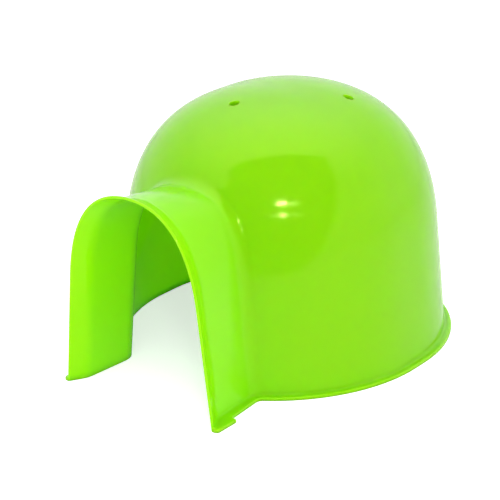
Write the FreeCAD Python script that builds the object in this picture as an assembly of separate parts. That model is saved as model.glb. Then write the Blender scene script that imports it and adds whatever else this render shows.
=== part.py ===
"""Small-animal igloo: one thin injection-moulded shell, with a dome, an arched entrance
tunnel whose mouth flares into a lip, a flange round the whole foot and three vent holes.

Millimetres and degrees, +Z up. The base lies on Z = 0, the mouth faces -Y and the finished
shell stands centred on the origin. While it is being shaped, the dome's axis is the Z axis.
Widths, heights and stations are measured over the outside of the wall, and widths are taken at
the foot. A station is a distance from the dome's axis towards the mouth.
"""
import FreeCAD, Part
import math
import os

# The wall has one thickness all over, as a moulding needs.
WALL = 1.2

# Dome: a drafted wall that rises straight to the spring line, then a round crown. In plan it is
# two half circles, drawn apart along Y by the stretch.
DOME_WIDTH = 140.0
DOME_STRETCH = 8.0
DOME_HEIGHT = 112.2
DOME_SPRING_HEIGHT = 52.0
DOME_DRAFT = 4.4
DOME_FULLNESS = 0.635

# Tunnel: an arch that widens and rises over its length, from the neck to the root of the lip.
# Its shoulders are fuller and its walls steeper at the neck than at the lip. The neck lies this
# far behind the front of the dome's foot.
NECK_SETBACK = 7.5
NECK_WIDTH = 68.4
NECK_HEIGHT = 85.0
NECK_DRAFT = 5.6
NECK_FULLNESS = 0.66
TUNNEL_LENGTH = 25.0
TUNNEL_WIDENING = 3.4
TUNNEL_RISE = 2.6
TUNNEL_SPRING_HEIGHT = 50.0
LIP_DRAFT = 6.4
LIP_FULLNESS = 0.61

# Lip: from its root to the mouth the wall turns outwards, by the flare on each side and by the
# rise at the top.
LIP_LENGTH = 7.3
LIP_FLARE = 4.5
LIP_RISE = 2.6
LIP_BEND_RADIUS = 10.0
# Small round on both edges of the mouth's end face.
RIM_RADIUS = 0.4

# Blend where the tunnel runs into the dome.
JUNCTION_RADIUS = 7.8

# Flange round the foot of the dome and along both sides of the tunnel, where it gets wider
# towards the mouth, by this much at the mouth itself.
FLANGE_WIDTH = 3.0
FLANGE_WIDENING = 0.7
FLANGE_THICKNESS = 1.4
FLANGE_ROOT_RADIUS = 1.4
FLANGE_EDGE_RADIUS = 0.55
FLANGE_INSIDE_CORNER_RADIUS = 3.5

# Foot pads: beside the mouth the flange is wider, and stands out past the lip.
PAD_OUTSTAND = 1.8
PAD_LENGTH = 12.5
PAD_FRONT_CORNER_RADIUS = 1.8
PAD_STEP_RADIUS = 0.9

# Vent holes, evenly spaced round a circle on the crown.
VENT_COUNT = 3
VENT_DIAMETER = 4.6
VENT_CIRCLE_RADIUS = 28.6
VENT_CIRCLE_SETBACK = 2.6
VENT_FIRST_ANGLE = -98.5

# How far a cutting body runs past the face that it opens.
CUT_PAST = 2.0
# The tunnel bodies start this far out from the dome's axis, well inside the dome.
TUNNEL_START_STATION = 30.0
# Points nearer to each other than this count as touching.
TOUCH = 0.01
# An edge is judged by the points at this many steps along it.
EDGE_STEPS = 4

# Stations, and (station, width, height, draft, fullness) of the three places that shape the tunnel.
DOME_FRONT_STATION = DOME_WIDTH / 2 + DOME_STRETCH / 2
NECK_STATION = DOME_FRONT_STATION - NECK_SETBACK
LIP_STATION = NECK_STATION + TUNNEL_LENGTH
MOUTH_STATION = LIP_STATION + LIP_LENGTH
LIP_ROOT_WIDTH = NECK_WIDTH + TUNNEL_WIDENING
LIP_ROOT_HEIGHT = NECK_HEIGHT + TUNNEL_RISE
MOUTH_WIDTH = LIP_ROOT_WIDTH + 2 * LIP_FLARE
MOUTH_HEIGHT = LIP_ROOT_HEIGHT + LIP_RISE
NECK = (NECK_STATION, NECK_WIDTH, NECK_HEIGHT, NECK_DRAFT, NECK_FULLNESS)
LIP_ROOT = (LIP_STATION, LIP_ROOT_WIDTH, LIP_ROOT_HEIGHT, LIP_DRAFT, LIP_FULLNESS)
MOUTH = (MOUTH_STATION, MOUTH_WIDTH, MOUTH_HEIGHT, LIP_DRAFT, LIP_FULLNESS)

UP = FreeCAD.Vector(0, 0, 1)
ORIGIN = FreeCAD.Vector(0, 0, 0)
HALF_TURN = 180
FULL_TURN = 360


def crown_poles(half_width, height, spring_height, draft, fullness):
    """Bezier poles, as (across, up), from the spring point of a drafted wall to the crown."""
    lean = math.tan(math.radians(draft))
    across = half_width - spring_height * lean
    handle = fullness * (height - spring_height)
    return [
        (across, spring_height),
        (across - handle * lean, spring_height + handle),
        (across * fullness, height),
        (0.0, height),
    ]


def section_edges(half_width, poles, draft, below, place):
    """Wall and crown edges of one half of a section, from the foot up, placed in space."""
    foot = place(half_width + below * math.tan(math.radians(draft)), -below)
    points = [place(across, up) for across, up in poles]
    crown = Part.BezierCurve()
    crown.setPoles(points)
    return [Part.LineSegment(foot, points[0]).toShape(), crown.toShape()]


def dome_half_face(width, height, side, below):
    """Half of the dome's upright section, on the +X side or the -X side of the axis."""

    def place(across, up):
        return FreeCAD.Vector(side * across, 0, up)

    poles = crown_poles(width / 2, height, DOME_SPRING_HEIGHT, DOME_DRAFT, DOME_FULLNESS)
    edges = section_edges(width / 2, poles, DOME_DRAFT, below, place)
    base_centre = place(0, -below)
    edges.append(Part.LineSegment(place(0, height), base_centre).toShape())
    edges.append(Part.LineSegment(base_centre, edges[0].Vertexes[0].Point).toShape())
    return Part.Face(Part.Wire(edges))


def dome_body(inset, below=0.0):
    """Dome as one solid, with every face moved inwards by inset."""
    width = DOME_WIDTH - 2 * inset
    height = DOME_HEIGHT - inset
    reach = DOME_STRETCH / 2
    pieces = []
    for turn, shift in ((HALF_TURN, reach), (-HALF_TURN, -reach)):
        half = dome_half_face(width, height, 1, below).revolve(ORIGIN, UP, turn)
        half.translate(FreeCAD.Vector(0, shift, 0))
        pieces.append(half)
    for side in (1, -1):
        face = dome_half_face(width, height, side, below)
        face.translate(FreeCAD.Vector(0, -reach, 0))
        pieces.append(face.extrude(FreeCAD.Vector(0, DOME_STRETCH, 0)))
    return pieces[0].multiFuse(pieces[1:]).removeSplitter()


def arch_wire(station, width, height, draft, fullness, below):
    """Closed arch outline across the tunnel at a station."""

    def right(across, up):
        return FreeCAD.Vector(across, -station, up)

    def left(across, up):
        return FreeCAD.Vector(-across, -station, up)

    poles = crown_poles(width / 2, height, TUNNEL_SPRING_HEIGHT, draft, fullness)
    right_edges = section_edges(width / 2, poles, draft, below, right)
    left_edges = section_edges(width / 2, poles, draft, below, left)
    sill = Part.LineSegment(left_edges[0].Vertexes[0].Point, right_edges[0].Vertexes[0].Point)
    return Part.Wire([sill.toShape()] + right_edges + left_edges[::-1])


def on_line(start, end, station):
    """Width, height, draft and fullness at a station, on the line through two known places."""
    share = (station - start[0]) / (end[0] - start[0])
    return [first + share * (last - first) for first, last in zip(start[1:], end[1:])]


def tunnel_body(inset, past=0.0, below=0.0):
    """Tunnel and lip as one solid, with every wall moved inwards by inset."""
    sections = [
        (TUNNEL_START_STATION, on_line(NECK, LIP_ROOT, TUNNEL_START_STATION)),
        (LIP_STATION, LIP_ROOT[1:]),
        (MOUTH_STATION + past, on_line(LIP_ROOT, MOUTH, MOUTH_STATION + past)),
    ]
    wires = [
        arch_wire(station, width - 2 * inset, height - inset, draft, fullness, below)
        for station, (width, height, draft, fullness) in sections
    ]
    body = Part.makeLoft(wires, True, True)
    bend = [edge for edge in body.Edges if lies_at_station(edge, LIP_STATION)]
    return body.makeFillet(LIP_BEND_RADIUS + inset, bend).Solids[0]


def samples(edge):
    """Points spread evenly over an edge, with its two ends."""
    first, last = edge.ParameterRange
    step = (last - first) / EDGE_STEPS
    return [edge.valueAt(first + index * step) for index in range(EDGE_STEPS + 1)]


def lies_at_station(edge, station):
    """Whether an edge runs round the arch at a station, its sill left out."""
    at_station = all(abs(point.y + station) < TOUCH for point in samples(edge))
    return at_station and edge.BoundBox.ZLength > TOUCH


def lies_on(edge, body):
    """Whether the whole edge lies on the skin of a body."""
    skin = body.Shells[0]
    return all(skin.distToShape(Part.Vertex(point))[0] < TOUCH for point in samples(edge))


def joined(dome, tunnel, radius):
    """Dome and tunnel as one solid, with the inside corner between them blended."""
    body = dome.fuse(tunnel).removeSplitter()
    seam = [
        edge
        for edge in body.Edges
        if edge.BoundBox.ZLength > TOUCH and lies_on(edge, dome) and lies_on(edge, tunnel)
    ]
    return body.makeFillet(radius, seam).Solids[0]


def slab(points):
    """Flat plate of the flange's thickness on an outline of (x, y) corners."""
    corners = [FreeCAD.Vector(x, y, 0) for x, y in points]
    outline = Part.makePolygon(corners + corners[:1])
    return Part.Face(outline).extrude(UP * FLANGE_THICKNESS)


def flange_plate():
    """Flange as a full plate, before the inside is cut out of it."""
    radius = DOME_WIDTH / 2 + FLANGE_WIDTH
    reach = DOME_STRETCH / 2
    ends = [
        Part.makeCylinder(radius, FLANGE_THICKNESS, FreeCAD.Vector(0, y, 0), UP)
        for y in (-reach, reach)
    ]
    middle = slab([(-radius, -reach), (radius, -reach), (radius, reach), (-radius, reach)])
    start = TUNNEL_START_STATION
    start_half = on_line(NECK, LIP_ROOT, start)[0] / 2 + FLANGE_WIDTH
    mouth_half = on_line(NECK, LIP_ROOT, MOUTH_STATION)[0] / 2 + FLANGE_WIDTH + FLANGE_WIDENING
    sides = slab(
        [
            (-start_half, -start),
            (-mouth_half, -MOUTH_STATION),
            (mouth_half, -MOUTH_STATION),
            (start_half, -start),
        ]
    )
    pad_half = MOUTH_WIDTH / 2 + PAD_OUTSTAND
    pad_back = -MOUTH_STATION + PAD_LENGTH
    pads = slab(
        [
            (-pad_half, -MOUTH_STATION),
            (pad_half, -MOUTH_STATION),
            (pad_half, pad_back),
            (-pad_half, pad_back),
        ]
    )
    plate = ends[0].multiFuse([ends[1], middle, sides, pads]).removeSplitter()
    return rounded_corners(plate, pad_half, pad_back)


def upright_edges(body, wanted):
    """Upright edges of a plate whose plan position passes a test."""
    return [
        edge
        for edge in body.Edges
        if edge.BoundBox.ZLength > FLANGE_THICKNESS - TOUCH
        and edge.BoundBox.XLength < TOUCH
        and edge.BoundBox.YLength < TOUCH
        and wanted(edge.CenterOfMass)
    ]


def rounded_corners(plate, pad_half, pad_back):
    """Flange plate with its corners in plan rounded."""
    plan = [
        (FLANGE_INSIDE_CORNER_RADIUS, lambda at: pad_back + TOUCH < at.y < 0 and abs(at.x) < pad_half),
        (PAD_FRONT_CORNER_RADIUS, lambda at: at.y < -MOUTH_STATION + TOUCH),
        (PAD_STEP_RADIUS, lambda at: abs(at.y - pad_back) < TOUCH),
    ]
    for radius, wanted in plan:
        plate = plate.makeFillet(radius, upright_edges(plate, wanted))
    return plate.Solids[0]


def flange_top_edges(whole, wanted):
    """Level edges of the flange's top face that pass a test."""
    return [
        edge
        for edge in whole.Edges
        if abs(edge.BoundBox.ZMin - FLANGE_THICKNESS) < TOUCH
        and edge.BoundBox.ZLength < TOUCH
        and wanted(edge)
    ]


def stands_clear(edge, body, gap):
    """Whether the whole edge is further than a gap from a body."""
    return all(body.distToShape(Part.Vertex(point))[0] > gap for point in samples(edge))


def with_flange(body):
    """Body with the flange round its foot, blended into the wall and rounded at its outer edge."""
    whole = body.fuse(flange_plate()).removeSplitter()
    root = flange_top_edges(whole, lambda edge: lies_on(edge, body))
    whole = whole.makeFillet(FLANGE_ROOT_RADIUS, root)
    reach = FLANGE_ROOT_RADIUS + TOUCH
    outer = flange_top_edges(whole, lambda edge: stands_clear(edge, body, reach))
    return whole.makeFillet(FLANGE_EDGE_RADIUS, outer).Solids[0]


def with_rounded_rim(shell):
    """Shell with both edges of the mouth's end face rounded, from foot to foot."""
    rim = [
        edge
        for edge in shell.Edges
        if lies_at_station(edge, MOUTH_STATION) and edge.BoundBox.ZMax > TUNNEL_SPRING_HEIGHT - TOUCH
    ]
    return shell.makeFillet(RIM_RADIUS, rim).Solids[0]


def vent_pins():
    """Upright pins where the vent holes go, from the dome's spring line to above its crown."""
    pins = []
    length = DOME_HEIGHT - DOME_SPRING_HEIGHT + CUT_PAST
    for index in range(VENT_COUNT):
        angle = math.radians(VENT_FIRST_ANGLE + index * FULL_TURN / VENT_COUNT)
        centre = FreeCAD.Vector(
            VENT_CIRCLE_RADIUS * math.cos(angle),
            VENT_CIRCLE_RADIUS * math.sin(angle) + VENT_CIRCLE_SETBACK,
            DOME_SPRING_HEIGHT,
        )
        pins.append(Part.makeCylinder(VENT_DIAMETER / 2, length, centre, UP))
    return pins


def ground():
    """Block under the base plane, wider than the whole shell."""
    reach = DOME_WIDTH + MOUTH_STATION
    depth = CUT_PAST + FLANGE_THICKNESS
    return Part.makeBox(2 * reach, 2 * reach, depth, FreeCAD.Vector(-reach, -reach, -depth))


def igloo_shell():
    """The whole moulding, with the dome's axis on the Z axis."""
    outside = joined(
        dome_body(0.0, CUT_PAST), tunnel_body(0.0, 0.0, CUT_PAST), JUNCTION_RADIUS
    ).cut(ground())
    inside = joined(
        dome_body(WALL, CUT_PAST), tunnel_body(WALL, CUT_PAST, CUT_PAST), JUNCTION_RADIUS + WALL
    )
    shell = with_flange(outside).cut(inside).Solids[0]
    return with_rounded_rim(shell).cut(Part.makeCompound(vent_pins())).Solids[0]


def centring_shift():
    """How far along Y the shell moves so that it stands centred on the origin."""
    return (MOUTH_STATION - DOME_FRONT_STATION - FLANGE_WIDTH) / 2


os.makedirs("parts", exist_ok=True)
shell = igloo_shell()
shell.translate(FreeCAD.Vector(0, centring_shift(), 0))
shell.exportStep("parts/igloo_shell.step")
print("igloo_shell", "valid" if shell.isValid() else "invalid", round(shell.Volume, 1), "mm3")
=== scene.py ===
"""A lime green igloo for a small rodent, moulded in gloss polypropylene, in a soft white studio.

Metres, +Z up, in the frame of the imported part: the igloo stands on Z = 0 and its entrance
faces -Y.
"""

import logging
import math
from dataclasses import dataclass, field
from enum import Enum

import bmesh
import bpy
from mathutils import Matrix, Vector


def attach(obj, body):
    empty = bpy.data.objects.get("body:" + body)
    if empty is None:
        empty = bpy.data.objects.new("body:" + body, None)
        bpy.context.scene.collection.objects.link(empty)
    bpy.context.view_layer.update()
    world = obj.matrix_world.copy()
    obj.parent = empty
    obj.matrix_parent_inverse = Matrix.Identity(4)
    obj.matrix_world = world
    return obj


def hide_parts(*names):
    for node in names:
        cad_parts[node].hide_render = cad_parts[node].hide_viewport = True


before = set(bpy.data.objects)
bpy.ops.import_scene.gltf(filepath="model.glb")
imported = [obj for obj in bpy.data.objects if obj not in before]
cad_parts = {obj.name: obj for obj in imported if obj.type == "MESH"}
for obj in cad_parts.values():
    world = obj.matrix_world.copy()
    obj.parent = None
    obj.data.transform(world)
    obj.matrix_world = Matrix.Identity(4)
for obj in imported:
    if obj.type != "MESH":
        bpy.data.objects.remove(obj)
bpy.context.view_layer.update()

LOG = logging.getLogger("igloo")
MM = 0.001
BODY = "root"
SHELL_NODE = "igloo_shell"


def linear(code: str) -> tuple[float, float, float, float]:
    """Turns an sRGB colour code into linear light.

    Args:
        code: six hex digits after a hash, as "#88f20a".

    Returns:
        Red, green, blue and an alpha of 1, as Blender's sockets take them.
    """
    channels = [int(code[start:start + 2], 16) / 255 for start in (1, 3, 5)]
    red, green, blue = (
        value / 12.92 if value <= 0.04045 else ((value + 0.055) / 1.055) ** 2.4
        for value in channels
    )
    return red, green, blue, 1.0


def add_node(
    tree: bpy.types.NodeTree,
    kind: str,
    settings: dict[str, object] | None = None,
    inputs: dict[str | int, object] | None = None,
) -> bpy.types.Node:
    """Adds a node, sets its properties and fills or links its inputs.

    Args:
        tree: the node tree that gets the node.
        kind: Blender's name of the node's type.
        settings: the node's own properties.
        inputs: a value or an output socket for each input, by its name or number.

    Returns:
        The new node.
    """
    node = tree.nodes.new(kind)
    for name, value in (settings or {}).items():
        setattr(node, name, value)
    for name, value in (inputs or {}).items():
        if isinstance(value, bpy.types.NodeSocket):
            tree.links.new(value, node.inputs[name])
        else:
            node.inputs[name].default_value = value
    return node


def new_material(name: str) -> tuple[bpy.types.Material, bpy.types.NodeTree]:
    """Makes a material with an empty node tree.

    Args:
        name: the material's name.

    Returns:
        The material and its node tree.
    """
    material = bpy.data.materials.new(name)
    material.use_nodes = True
    material.node_tree.nodes.clear()
    return material, material.node_tree


def new_piece(name: str, mesh_builder: bmesh.types.BMesh) -> bpy.types.Object:
    """Turns a bmesh into an object in the scene, and frees the bmesh.

    Args:
        name: the object's name.
        mesh_builder: the finished bmesh, in metres and in place.

    Returns:
        The object, at the origin, unturned and unscaled.
    """
    mesh = bpy.data.meshes.new(name)
    mesh_builder.to_mesh(mesh)
    mesh_builder.free()
    piece = bpy.data.objects.new(name, mesh)
    bpy.context.scene.collection.objects.link(piece)
    return piece


@dataclass(frozen=True)
class MouldedPolypropylene:
    """Dyed polypropylene homopolymer, injection moulded against a polished steel mould.

    It gives the eye a deep, even lime under a clear gloss whose highlights keep a little of the
    dye's yellow. The skin is never quite flat: it sinks and swells by hundredths of a millimetre
    as it shrinks, which bends reflections a little, and the flow from the gate leaves faint
    lighter and darker areas. The wall is thin enough for much light to pass, so the hollow glows
    and its colour turns greener with each pass.
    """

    name: str = "injection-moulded polypropylene"
    colour: str = "#88f20a"
    flow_colour: str = "#8cf411"
    gloss_tint: str = "#f8ff8c"
    ior: float = 1.49
    roughness_low: float = 0.09
    roughness_high: float = 0.13
    light_through: float = 1.0
    light_reach_mm: tuple[float, float, float] = (5.2, 6.8, 0.5)
    flow_width_mm: float = 38.0
    flow_detail: float = 2.0
    sink_width_mm: float = 16.0
    sink_depth_mm: float = 0.035
    sink_detail: float = 1.0
    polish_detail: float = 3.0
    grain_width_mm: float = 0.9
    grain_depth_mm: float = 0.0012
    grain_detail: float = 2.0

    def material(self) -> bpy.types.Material:
        """Builds the material.

        Returns:
            A material for every face of the shell.
        """
        material, tree = new_material(self.name)
        place = add_node(tree, "ShaderNodeTexCoord").outputs["Object"]
        flow = self.noise(tree, place, self.flow_width_mm, self.flow_detail)
        # Inputs 6 and 7 and output 2 are the Mix node's colours.
        colour = add_node(
            tree,
            "ShaderNodeMix",
            {"data_type": "RGBA"},
            {0: flow, 6: linear(self.colour), 7: linear(self.flow_colour)},
        ).outputs[2]
        roughness = add_node(
            tree,
            "ShaderNodeMapRange",
            inputs={
                "Value": self.noise(tree, place, self.sink_width_mm, self.polish_detail),
                "To Min": self.roughness_low,
                "To Max": self.roughness_high,
            },
        ).outputs["Result"]
        sink = add_node(
            tree,
            "ShaderNodeBump",
            inputs={
                "Strength": 1.0,
                "Distance": self.sink_depth_mm * MM,
                "Height": self.noise(tree, place, self.sink_width_mm, self.sink_detail),
            },
        ).outputs["Normal"]
        # The polish marks of a real mould are finer still, and are drawn coarse enough to show.
        skin = add_node(
            tree,
            "ShaderNodeBump",
            inputs={
                "Strength": 1.0,
                "Distance": self.grain_depth_mm * MM,
                "Height": self.noise(tree, place, self.grain_width_mm, self.grain_detail),
                "Normal": sink,
            },
        ).outputs["Normal"]
        surface = add_node(
            tree,
            "ShaderNodeBsdfPrincipled",
            {"subsurface_method": "RANDOM_WALK"},
            {
                "Base Color": colour,
                "Roughness": roughness,
                "Normal": skin,
                "IOR": self.ior,
                "Specular Tint": linear(self.gloss_tint),
                "Subsurface Weight": self.light_through,
                "Subsurface Radius": self.light_reach_mm,
                "Subsurface Scale": MM,
            },
        ).outputs["BSDF"]
        add_node(tree, "ShaderNodeOutputMaterial", inputs={"Surface": surface})
        return material

    def noise(
        self,
        tree: bpy.types.NodeTree,
        place: bpy.types.NodeSocket,
        width_mm: float,
        detail: float,
    ) -> bpy.types.NodeSocket:
        """Adds soft noise whose patches have a given width.

        Args:
            tree: the material's node tree.
            place: the coordinates, in metres.
            width_mm: the width of one patch.
            detail: how many finer layers the noise holds.

        Returns:
            The socket with the noise, from 0 to 1.
        """
        return add_node(
            tree,
            "ShaderNodeTexNoise",
            inputs={"Vector": place, "Scale": 1 / (width_mm * MM), "Detail": detail},
        ).outputs["Fac"]


@dataclass(frozen=True)
class PaleFloorPaint:
    """Matt white studio paint: plain, pale and without gloss, so only the soft shadow shows."""

    name: str = "matt white studio paint"
    colour: str = "#f4f4f4"
    lift_to_eye: float = 0.62
    lift_in_gloss: float = 0.04

    def material(self) -> bpy.types.Material:
        """Builds the paint, brighter to the eye and in mirrors than as a light source.

        Returns:
            The floor's material.
        """
        material, tree = new_material(self.name)
        paint = add_node(
            tree, "ShaderNodeBsdfDiffuse", inputs={"Color": linear(self.colour)}
        ).outputs["BSDF"]
        lift = add_node(
            tree,
            "ShaderNodeEmission",
            inputs={"Strength": shown_level(tree, self.lift_to_eye, self.lift_in_gloss)},
        ).outputs["Emission"]
        both = add_node(tree, "ShaderNodeAddShader", inputs={0: paint, 1: lift}).outputs["Shader"]
        add_node(tree, "ShaderNodeOutputMaterial", inputs={"Surface": both})
        return material


@dataclass(frozen=True)
class MattCard:
    """Flocked card: matt and grey, so that gloss mirrors it as a calm, darker patch."""

    name: str
    colour: str

    def material(self) -> bpy.types.Material:
        """Builds the card's material.

        Returns:
            A plain matt material.
        """
        material, tree = new_material(self.name)
        surface = add_node(
            tree, "ShaderNodeBsdfDiffuse", inputs={"Color": linear(self.colour)}
        ).outputs["BSDF"]
        add_node(tree, "ShaderNodeOutputMaterial", inputs={"Surface": surface})
        return material


@dataclass(frozen=True)
class GlowingScrim:
    """Thin white diffusion cloth, lit from behind, brightest in its middle and fading outwards."""

    name: str = "white diffusion cloth"
    glow: float = 1.3
    rim_radius: float = 4.0

    def material(self) -> bpy.types.Material:
        """Builds the cloth, which adds its glow to what lies behind it.

        Returns:
            The scrim's material.
        """
        material, tree = new_material(self.name)
        place = add_node(tree, "ShaderNodeTexCoord").outputs["Object"]
        level = add_node(
            tree,
            "ShaderNodeVectorMath",
            {"operation": "MULTIPLY"},
            {0: place, 1: (1, 1, 0)},
        ).outputs["Vector"]
        radius = add_node(
            tree, "ShaderNodeVectorMath", {"operation": "LENGTH"}, {0: level}
        ).outputs["Value"]
        strength = add_node(
            tree,
            "ShaderNodeMapRange",
            {"interpolation_type": "SMOOTHSTEP"},
            {
                "Value": radius,
                "From Min": 0.0,
                "From Max": self.rim_radius,
                "To Min": self.glow,
                "To Max": 0.0,
            },
        ).outputs["Result"]
        glow = add_node(
            tree, "ShaderNodeEmission", inputs={"Strength": strength}
        ).outputs["Emission"]
        clear = add_node(tree, "ShaderNodeBsdfTransparent").outputs["BSDF"]
        both = add_node(tree, "ShaderNodeAddShader", inputs={0: glow, 1: clear}).outputs["Shader"]
        add_node(tree, "ShaderNodeOutputMaterial", inputs={"Surface": both})
        return material


def shown_level(
    tree: bpy.types.NodeTree, to_eye: float, in_gloss: float
) -> bpy.types.NodeSocket:
    """Adds a level for the rays that show a background: to the eye, in a mirror or through glass.

    Args:
        tree: the node tree that needs the level.
        to_eye: the level for the camera's own rays.
        in_gloss: the level for rays that a mirror or glass sends on.

    Returns:
        A socket with the level of such a ray, and 0 for any other.
    """
    path = add_node(tree, "ShaderNodeLightPath")
    sent_on = add_node(
        tree,
        "ShaderNodeMath",
        {"operation": "MAXIMUM"},
        {0: path.outputs["Is Glossy Ray"], 1: path.outputs["Is Transmission Ray"]},
    ).outputs["Value"]
    gloss_level = add_node(
        tree, "ShaderNodeMath", {"operation": "MULTIPLY"}, {0: sent_on, 1: in_gloss}
    ).outputs["Value"]
    return add_node(
        tree,
        "ShaderNodeMath",
        {"operation": "MULTIPLY_ADD"},
        {0: path.outputs["Is Camera Ray"], 1: to_eye, 2: gloss_level},
    ).outputs["Value"]


@dataclass
class IglooShell:
    """The moulding: dome, entrance tunnel, flared lip, foot flange and vent holes in one piece."""

    weld_distance: float = 0.001 * MM
    crease_angle_deg: float = 32.0
    wide_face_weight: int = 100
    finish: MouldedPolypropylene = field(default_factory=MouldedPolypropylene)

    def build(self) -> bpy.types.Object:
        """Builds the shell from the fixed solid, welded so that its curves shade as one skin.

        Returns:
            The finished piece, riding on its body.
        """
        skin = bmesh.new()
        skin.from_mesh(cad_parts[SHELL_NODE].data)
        bmesh.ops.remove_doubles(skin, verts=skin.verts, dist=self.weld_distance)
        crease = math.radians(self.crease_angle_deg)
        for face in skin.faces:
            face.smooth = True
        for edge in skin.edges:
            edge.smooth = edge.calc_face_angle(math.pi) < crease
        piece = new_piece("igloo", skin)
        self.dress(piece)
        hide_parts(SHELL_NODE)
        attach(piece, BODY)
        return piece

    def dress(self, piece: bpy.types.Object) -> None:
        """Gives the shell its finish, and lets its wide faces set how it shades.

        Args:
            piece: the welded shell.
        """
        piece.data.materials.clear()
        piece.data.materials.append(self.finish.material())
        shading = piece.modifiers.new("wide faces lead", "WEIGHTED_NORMAL")
        shading.keep_sharp = True
        shading.weight = self.wide_face_weight


class Lamp(Enum):
    """The studio's lamps."""

    OVERHEAD = "overhead softbox"
    BEHIND = "softbox behind"
    FILL = "fill softbox above the camera"
    HIGH_STRIP = "high strip light beside the camera"
    HIGH_BULB = "bulb in the high strip light"
    LOW_STRIP = "low strip light beside the camera"
    LOW_BULB = "bulb in the low strip light"


@dataclass(frozen=True)
class Softbox:
    """One flat lamp: where it stands as seen from the igloo, its size and how bright it looks.

    Distance, width and height are in metres, and a radiance of 1 looks white. A lamp that isn't
    mirrored stands for light off the studio's walls: it shows in no gloss.
    """

    azimuth_deg: float
    elevation_deg: float
    distance: float
    width: float
    height: float
    radiance: float
    mirrored: bool

    def place(self, name: str) -> bpy.types.Object:
        """Adds the lamp, turned to face the igloo.

        Args:
            name: the lamp's name.

        Returns:
            The lamp.
        """
        light = bpy.data.lights.new(name, "AREA")
        light.shape = "RECTANGLE"
        light.size = self.width
        light.size_y = self.height
        light.energy = self.radiance * math.pi * self.width * self.height
        lamp = bpy.data.objects.new(name, light)
        back = direction(self.azimuth_deg, self.elevation_deg)
        lamp.matrix_world = facing(back * self.distance, back, 0.0)
        lamp.visible_glossy = self.mirrored
        bpy.context.scene.collection.objects.link(lamp)
        return lamp


# Each row: azimuth and elevation in degrees, distance, width, height, radiance, mirrored.
SOFTBOXES: dict[Lamp, Softbox] = {
    Lamp.OVERHEAD: Softbox(20.0, 80.0, 1.3, 1.9, 1.9, 0.52, False),
    Lamp.BEHIND: Softbox(200.0, 30.0, 1.5, 1.0, 0.9, 0.5, False),
    Lamp.FILL: Softbox(43.0, 34.0, 1.3, 0.9, 0.8, 1.1, False),
    Lamp.HIGH_STRIP: Softbox(50.8, 32.8, 1.11, 0.17, 0.036, 13.0, True),
    Lamp.HIGH_BULB: Softbox(42.8, 33.5, 1.1, 0.09, 0.04, 90.0, True),
    Lamp.LOW_STRIP: Softbox(44.0, 25.0, 1.11, 0.5, 0.02, 6.0, True),
    Lamp.LOW_BULB: Softbox(43.0, 24.9, 1.1, 0.05, 0.034, 50.0, True),
}


def direction(azimuth_deg: float, elevation_deg: float) -> Vector:
    """Points from the igloo to a place in the studio.

    Args:
        azimuth_deg: the turn about Z, 0 in front of the entrance and 90 on the +X side.
        elevation_deg: the angle over the floor.

    Returns:
        A unit vector.
    """
    turn = math.radians(azimuth_deg)
    rise = math.radians(elevation_deg)
    return Vector(
        (math.sin(turn) * math.cos(rise), -math.cos(turn) * math.cos(rise), math.sin(rise))
    )


def facing(place: Vector, back: Vector, roll_deg: float) -> Matrix:
    """Works out the pose of a lamp or camera, which looks along its own -Z.

    Args:
        place: where it stands.
        back: the unit vector away from what it looks at.
        roll_deg: its turn about the line of sight.

    Returns:
        The pose as a matrix.
    """
    level_right = Vector((-back.y, back.x, 0)).normalized()
    level_up = back.cross(level_right)
    roll = math.radians(roll_deg)
    right = math.cos(roll) * level_right + math.sin(roll) * level_up
    up = math.cos(roll) * level_up - math.sin(roll) * level_right
    pose = Matrix((right, up, back)).transposed().to_4x4()
    pose.translation = place
    return pose


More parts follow.
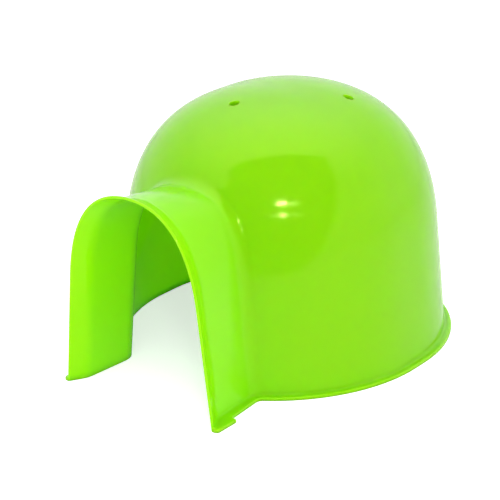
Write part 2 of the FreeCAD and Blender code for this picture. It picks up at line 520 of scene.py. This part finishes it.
@dataclass
class Studio:
    """Pale floor, white surroundings, lamps, and what only the gloss sees.

    The gloss mirrors a dark card behind the camera, whose foot lies on the floor, and a glowing
    scrim overhead.
    """

    floor_half_width: float = 6.0
    floor_gap: float = 0.05 * MM
    surroundings: float = 0.75
    card_azimuth_deg: float = 47.0
    card_elevation_deg: float = 22.0
    card_distance: float = 1.3
    card_corners: tuple[tuple[float, float], ...] = (
        (-1.2, 1.85),
        (-1.35, 0.8),
        (-1.15, -0.2),
        (-0.75, -0.52),
        (0.62, -0.52),
        (0.9, -0.05),
        (1.16, 0.75),
        (1.2, 1.8),
    )
    card_foot: tuple[tuple[float, float], ...] = (
        (-0.75, 1.4),
        (-0.22, 0.26),
        (0.02, 0.3),
        (0.62, 1.4),
    )
    card_foot_lift: float = 1.0 * MM
    card_finish: MattCard = MattCard("dark flocked card", "#686868")
    scrim_height: float = 2.6
    scrim_corners: int = 48
    scrim_finish: GlowingScrim = GlowingScrim()

    def build_floor(self) -> bpy.types.Object:
        """Builds the floor, just under the igloo's foot.

        Returns:
            The floor.
        """
        sheet = bmesh.new()
        bmesh.ops.create_grid(
            sheet,
            x_segments=1,
            y_segments=1,
            size=self.floor_half_width,
            matrix=Matrix.Translation((0, 0, -self.floor_gap)),
        )
        floor = new_piece("studio_floor", sheet)
        floor.data.materials.append(PaleFloorPaint().material())
        return floor

    def build_card(self) -> bpy.types.Object:
        """Builds the dark card behind the camera and its foot, which narrows to the igloo.

        Returns:
            The card.
        """
        sheet = bmesh.new()
        corners = [sheet.verts.new((across, up, 0)) for across, up in self.card_corners]
        bmesh.ops.contextual_create(sheet, geom=corners)
        back = direction(self.card_azimuth_deg, self.card_elevation_deg)
        bmesh.ops.transform(sheet, matrix=facing(back * self.card_distance, back, 0.0), verts=corners)
        foot = [
            sheet.verts.new((across, -away, self.card_foot_lift))
            for across, away in self.card_foot
        ]
        bmesh.ops.contextual_create(sheet, geom=foot)
        turn = Matrix.Rotation(math.radians(self.card_azimuth_deg), 3, "Z")
        bmesh.ops.rotate(sheet, cent=(0, 0, 0), matrix=turn, verts=foot)
        return self.gloss_only("camera_side_card", sheet, self.card_finish.material())

    def build_scrim(self) -> bpy.types.Object:
        """Builds the round scrim overhead.

        Returns:
            The scrim.
        """
        sheet = bmesh.new()
        bmesh.ops.create_circle(
            sheet,
            cap_ends=True,
            segments=self.scrim_corners,
            radius=self.scrim_finish.rim_radius,
            matrix=Matrix.Translation((0, 0, self.scrim_height)),
        )
        return self.gloss_only("overhead_scrim", sheet, self.scrim_finish.material())

    def gloss_only(
        self, name: str, sheet: bmesh.types.BMesh, finish: bpy.types.Material
    ) -> bpy.types.Object:
        """Places a sheet that shows in the gloss alone: it is unseen, and stops no light.

        Args:
            name: the sheet's name.
            sheet: its finished bmesh.
            finish: its material.

        Returns:
            The sheet.
        """
        piece = new_piece(name, sheet)
        piece.data.materials.append(finish)
        piece.visible_camera = False
        piece.visible_diffuse = False
        piece.visible_transmission = False
        piece.visible_shadow = False
        return piece

    def light_surroundings(self) -> bpy.types.World:
        """Makes white surroundings that light the igloo evenly and look pure white.

        Returns:
            The scene's world.
        """
        world = bpy.data.worlds.new("white studio")
        world.use_nodes = True
        tree = world.node_tree
        tree.nodes.clear()
        shown = 1.0 - self.surroundings
        strength = add_node(
            tree,
            "ShaderNodeMath",
            {"operation": "ADD"},
            {0: shown_level(tree, shown, shown), 1: self.surroundings},
        ).outputs["Value"]
        glow = add_node(
            tree, "ShaderNodeBackground", inputs={"Color": linear("#ffffff"), "Strength": strength}
        ).outputs["Background"]
        add_node(tree, "ShaderNodeOutputWorld", inputs={"Surface": glow})
        bpy.context.scene.world = world
        return world

    def light_lamps(self) -> list[bpy.types.Object]:
        """Adds every softbox.

        Returns:
            The lamps.
        """
        return [softbox.place(lamp.value) for lamp, softbox in SOFTBOXES.items()]


@dataclass
class StudioCamera:
    """The camera, at the height, side and distance that the part is shown from."""

    azimuth_deg: float = 38.93
    elevation_deg: float = 21.35
    roll_deg: float = -1.52
    distance: float = 716.4 * MM
    aim: tuple[float, float, float] = (-10.2 * MM, 0.4 * MM, 37.6 * MM)
    lens_mm: float = 116.37
    sensor_mm: float = 36.0

    def place(self) -> bpy.types.Object:
        """Adds the camera and makes it the scene's.

        Returns:
            The camera.
        """
        data = bpy.data.cameras.new("studio camera")
        data.lens = self.lens_mm
        data.sensor_width = self.sensor_mm
        camera = bpy.data.objects.new("studio camera", data)
        back = direction(self.azimuth_deg, self.elevation_deg)
        camera.matrix_world = facing(Vector(self.aim) + back * self.distance, back, self.roll_deg)
        bpy.context.scene.collection.objects.link(camera)
        bpy.context.scene.camera = camera
        return camera


def main() -> None:
    """Builds the scene in order and reports each piece."""
    logging.basicConfig(level=logging.INFO, format="%(name)s: %(message)s")
    bpy.context.scene.view_settings.view_transform = "Standard"
    StudioCamera().place()
    studio = Studio()
    LOG.info("floor %s", studio.build_floor().name)
    for sheet in (studio.build_card(), studio.build_scrim()):
        LOG.info("sheet for the gloss %s", sheet.name)
    LOG.info("world %s", studio.light_surroundings().name)
    LOG.info("lamps %s", [lamp.name for lamp in studio.light_lamps()])
    shell = IglooShell().build()
    LOG.info("piece %s, %d faces", shell.name, len(shell.data.polygons))


if __name__ == "__main__":
    main()
